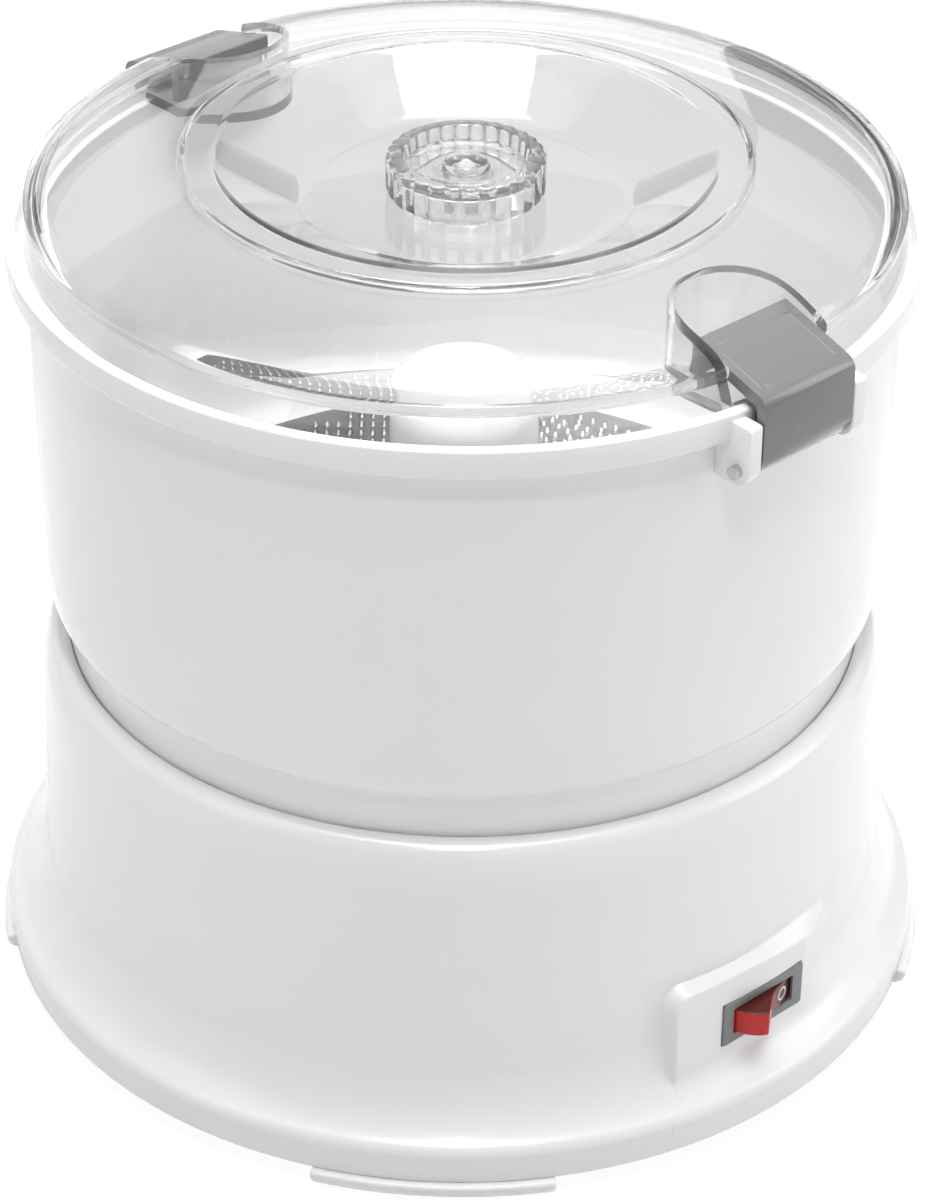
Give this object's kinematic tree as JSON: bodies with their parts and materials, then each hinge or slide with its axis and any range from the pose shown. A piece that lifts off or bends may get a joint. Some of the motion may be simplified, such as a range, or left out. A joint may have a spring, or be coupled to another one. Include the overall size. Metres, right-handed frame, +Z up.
{
  "type": "electric potato peeler",
  "caption": "Countertop electric peeler: a flared motor base, a lift-off bowl with a spinning grater disc, and a clear domed lid held by hinged latches.",
  "frame": {"origin": "on the vertical axis, in the plane that the feet stand on", "axes": "+Z up along the axis of the disc and spindle, -Y towards the switch and the front latch, +Y towards the cord inlet"},
  "size_m": [0.2384, 0.2384, 0.2226],
  "materials": {
    "white_plastic": "gloss white moulding",
    "disc_plastic": "satin white moulding",
    "plate_plastic": "satin white moulding",
    "foot_rubber": "off-white soft rubber",
    "grommet_rubber": "pale rubber",
    "bezel_plastic": "satin grey",
    "brass": "bare brass",
    "red_plastic": "gloss translucent red",
    "zinc_plate": "zinc plated",
    "screw_steel": "zinc plated",
    "shaft_steel": "ground steel",
    "ferrite": "ferrite",
    "black_plastic": "satin black",
    "carbon": "carbon",
    "bronze": "sintered bronze",
    "copper": "varnished copper",
    "gear_plastic": "natural nylon",
    "drive_plastic": "satin grey",
    "board": "solder mask",
    "capacitor": "satin yellow",
    "grater_steel": "punched sheet steel",
    "clear_plastic": "clear moulding",
    "grey_plastic": "satin grey"
  },
  "bodies": {
    "base": {"base_housing": "white_plastic", "bottom_plate": "plate_plastic", "feet": "foot_rubber", "plate_screws": "screw_steel", "cord_gland": "grommet_rubber", "switch_body": "bezel_plastic", "switch_terminals": "brass", "gear_plate": "zinc_plate", "gear_plate_screws": "screw_steel", "motor_can": "zinc_plate", "motor_magnets": "ferrite", "motor_end_cap": "black_plastic", "motor_bushes": "bronze", "motor_brushes": "carbon", "motor_screws": "screw_steel", "idler_axle": "shaft_steel", "lower_bush": "bronze", "upper_bush": "bronze", "shaft_seal": "grommet_rubber", "circuit_board": "board", "board_screws": "screw_steel", "suppressor": "capacitor", "rectifier": "black_plastic"},
    "rocker_body": {"rocker": "red_plastic"},
    "rotor": {"motor_shaft": "shaft_steel", "motor_armature": "copper", "motor_commutator": "copper", "motor_pinion": "brass"},
    "idler": {"idler_gear": "gear_plastic"},
    "spindle": {"drive_spindle": "shaft_steel", "output_gear": "gear_plastic", "thrust_washer": "shaft_steel", "spindle_clip": "shaft_steel", "drive_coupling": "drive_plastic"},
    "bowl_body": {"bowl": "white_plastic", "latch_pin_front": "shaft_steel", "latch_pin_back": "shaft_steel"},
    "disc": {"disc_carrier": "disc_plastic", "grater_disc": "grater_steel", "hub_column": "white_plastic", "hub_screws": "screw_steel"},
    "lid_body": {"lid": "clear_plastic", "lid_knob": "clear_plastic", "knob_screw": "screw_steel"},
    "front_latch": {"latch_front": "grey_plastic"},
    "back_latch": {"latch_back": "grey_plastic"}
  },
  "joints": [
    {"name": "bowl_lift", "type": "slide", "parent": "base", "child": "bowl_body", "axis": [0, 0, 1], "range_m": [0, 0.08]},
    {"name": "disc_spin", "type": "hinge", "parent": "bowl_body", "child": "disc", "pos_m": [0, 0, 0.109], "axis": [0, 0, 1], "continuous": true},
    {"name": "spindle_spin", "type": "hinge", "parent": "base", "child": "spindle", "pos_m": [0, 0, 0.1], "axis": [0, 0, 1], "continuous": true},
    {"name": "idler_spin", "type": "hinge", "parent": "base", "child": "idler", "pos_m": [0.02344, 0.04059, 0.07], "axis": [0, 0, 1], "continuous": true},
    {"name": "motor_spin", "type": "hinge", "parent": "base", "child": "rotor", "pos_m": [0.00844, 0.06658, 0.04], "axis": [0, 0, 1], "continuous": true},
    {"name": "lid_lift", "type": "slide", "parent": "bowl_body", "child": "lid_body", "axis": [0, 0, 1], "range_m": [0, 0.02]},
    {"name": "front_latch_hinge", "type": "hinge", "parent": "bowl_body", "child": "front_latch", "pos_m": [0, -0.1107, 0.1915], "axis": [1, 0, 0], "range_deg": [0, 110]},
    {"name": "back_latch_hinge", "type": "hinge", "parent": "bowl_body", "child": "back_latch", "pos_m": [0, 0.1107, 0.1915], "axis": [-1, 0, 0], "range_deg": [0, 110]},
    {"name": "rocker_tilt", "type": "hinge", "parent": "base", "child": "rocker_body", "pos_m": [0, -0.10876, 0.0312], "axis": [0, 0, -1], "range_deg": [0, 54]}
  ],
  "couplings": [
    {"joint": "spindle_spin", "follows": "disc_spin", "ratio": 1},
    {"joint": "idler_spin", "follows": "disc_spin", "ratio": -4},
    {"joint": "motor_spin", "follows": "disc_spin", "ratio": 16},
    {"joint": "front_latch_hinge", "follows": "lid_lift", "rad_per_m": 95.9},
    {"joint": "back_latch_hinge", "follows": "lid_lift", "rad_per_m": 95.9}
  ]
}
